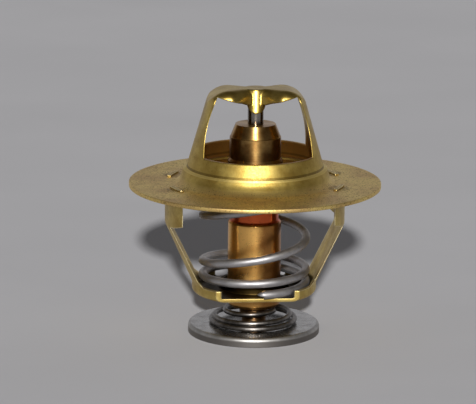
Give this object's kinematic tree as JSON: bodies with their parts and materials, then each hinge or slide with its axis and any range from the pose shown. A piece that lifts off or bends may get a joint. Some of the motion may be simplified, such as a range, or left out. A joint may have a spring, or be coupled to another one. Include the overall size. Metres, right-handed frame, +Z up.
{
  "type": "engine thermostat",
  "caption": "Round flanged engine thermostat with a wax element under a bridge, a sprung main valve in a lower frame and a bypass disc on a stem below.",
  "frame": {"origin": "on the axis, at the underside of the bypass disc, which the part stands on", "axes": "+Z up the axis, from the bypass disc to the bridge; +X and -X through the two arms of the bridge"},
  "size_m": [0.054, 0.054, 0.0534],
  "materials": {
    "flange_brass": "drawn sheet, dull olive gold",
    "frame_brass": "drawn sheet, satin",
    "piston_steel": "ground, polished",
    "hard_plastic": "turned",
    "element_rubber": "moulded",
    "guide_brass": "turned, browned",
    "cup_copper": "drawn, tarnished",
    "wax": "cast wax with metal powder",
    "valve_brass": "pressed, bright",
    "spring_steel": "drawn wire, satin",
    "stem_brass": "turned, browned",
    "dark_steel": "pressed, dark oxide",
    "dark_spring_steel": "drawn wire, dark oxide",
    "disc_steel": "pressed, dull"
  },
  "bodies": {
    "housing": {"flange_bridge": "flange_brass", "lower_frame": "frame_brass", "piston": "piston_steel", "anti_extrusion_disc": "hard_plastic", "rubber_plug": "element_rubber", "main_spring": "spring_steel"},
    "element": {"guide": "guide_brass", "main_valve": "valve_brass", "diaphragm": "element_rubber", "wax_charge": "wax", "element_cup": "cup_copper", "bypass_stem": "stem_brass", "retaining_clip": "dark_steel", "bypass_spring": "dark_spring_steel"},
    "bypass": {"bypass_disc": "disc_steel"}
  },
  "joints": [
    {"name": "valve_travel", "type": "slide", "parent": "housing", "child": "element", "axis": [0, 0, -1], "range_m": [0, 0.008], "stiffness_N_per_m": 3000, "springref_m": -0.004, "deforming": ["main_spring"]},
    {"name": "bypass_travel", "type": "slide", "parent": "element", "child": "bypass", "axis": [0, 0, 1], "range_m": [0, 0.0018], "stiffness_N_per_m": 3000, "springref_m": -0.003, "deforming": ["bypass_spring"]}
  ]
}
